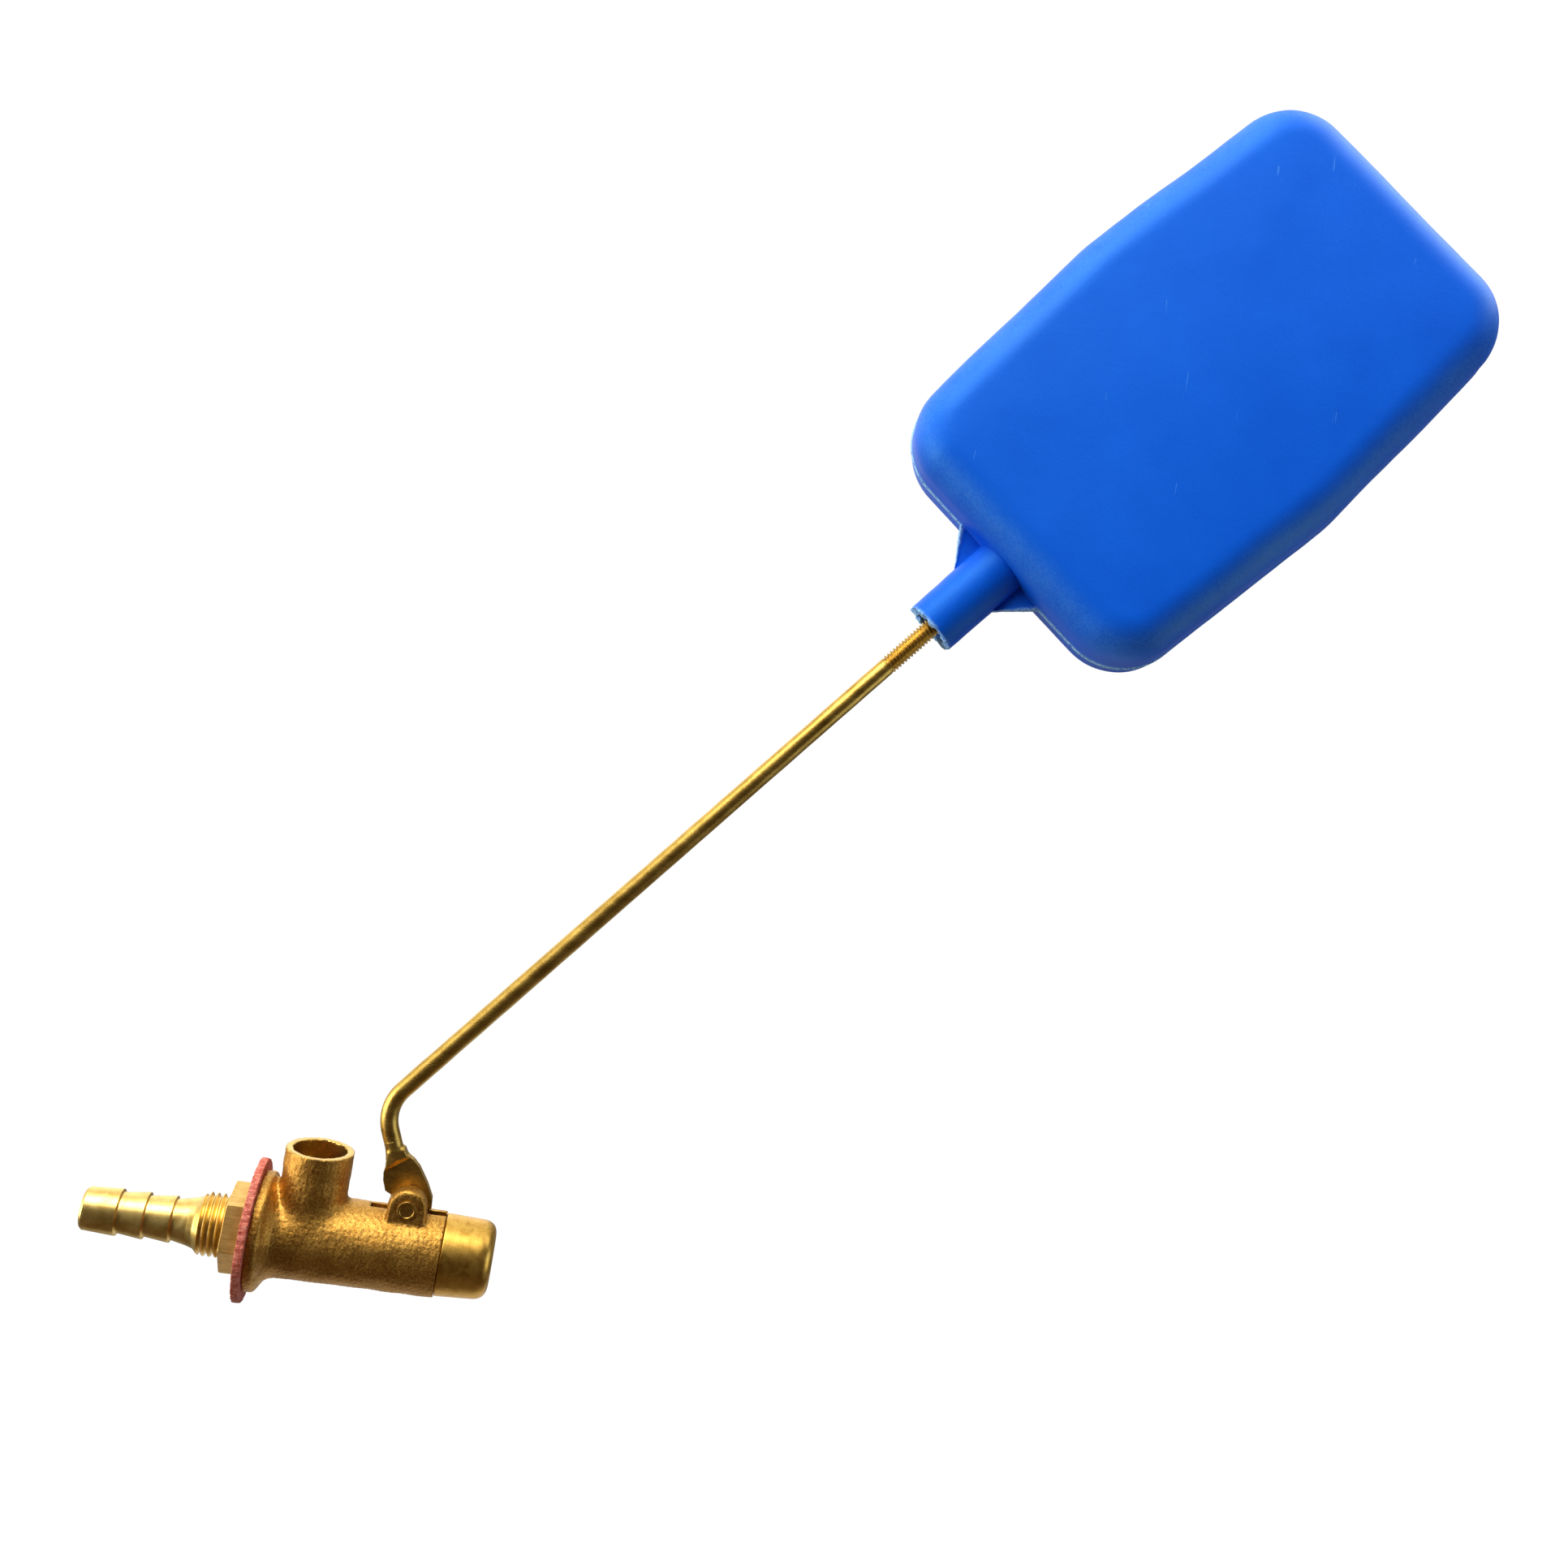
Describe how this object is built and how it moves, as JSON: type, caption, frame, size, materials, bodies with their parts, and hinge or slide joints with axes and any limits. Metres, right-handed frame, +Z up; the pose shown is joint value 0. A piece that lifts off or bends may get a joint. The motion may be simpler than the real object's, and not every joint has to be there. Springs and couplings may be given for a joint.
{
  "type": "float valve",
  "caption": "Brass piston float valve: hose-tail inlet with lock nut and fibre washer, a downward outlet spout, and a hinged bent arm carrying a flat blue plastic float.",
  "frame": {"origin": "on the inlet axis, in the plane of the flange's sealing face", "axes": "+X along the inlet axis from the hose tail to the end cap; +Z up, with the spout and the arm underneath; Y across, along the hinge pin"},
  "size_m": [0.3978, 0.0678, 0.442],
  "materials": {
    "cast_brass": "rough cast, golden brown",
    "nozzle_brass": "turned",
    "nut_brass": "turned faces, drawn flats",
    "red_fibre": "matt pressed fibre",
    "cap_brass": "satin turned",
    "pin_brass": "peened ends",
    "arm_brass": "drawn bar, lightly oxidised",
    "piston_brass": "turned",
    "retainer_brass": "turned",
    "washer_rubber": "moulded",
    "insert_brass": "turned",
    "blue_plastic": "blow moulded, soft sheen"
  },
  "bodies": {
    "valve": {"valve_body": "cast_brass", "seat_nozzle": "nozzle_brass", "lock_nut": "nut_brass", "fibre_washer": "red_fibre", "end_cap": "cap_brass", "pivot_pin": "pin_brass"},
    "float_arm": {"lever_arm": "arm_brass", "float_insert": "insert_brass", "float_shell": "blue_plastic"},
    "piston": {"piston": "piston_brass", "washer_retainer": "retainer_brass", "piston_washer": "washer_rubber"}
  },
  "joints": [
    {"name": "arm_hinge", "type": "hinge", "parent": "valve", "child": "float_arm", "pos_m": [0.0465, 0, -0.016], "axis": [0, -1, 0], "range_deg": [0, 46]},
    {"name": "piston_slide", "type": "slide", "parent": "valve", "child": "piston", "axis": [-1, 0, 0], "range_m": [0, 0.0086]}
  ],
  "couplings": [
    {"joint": "piston_slide", "follows": "arm_hinge", "m_per_rad": 0.010707}
  ]
}
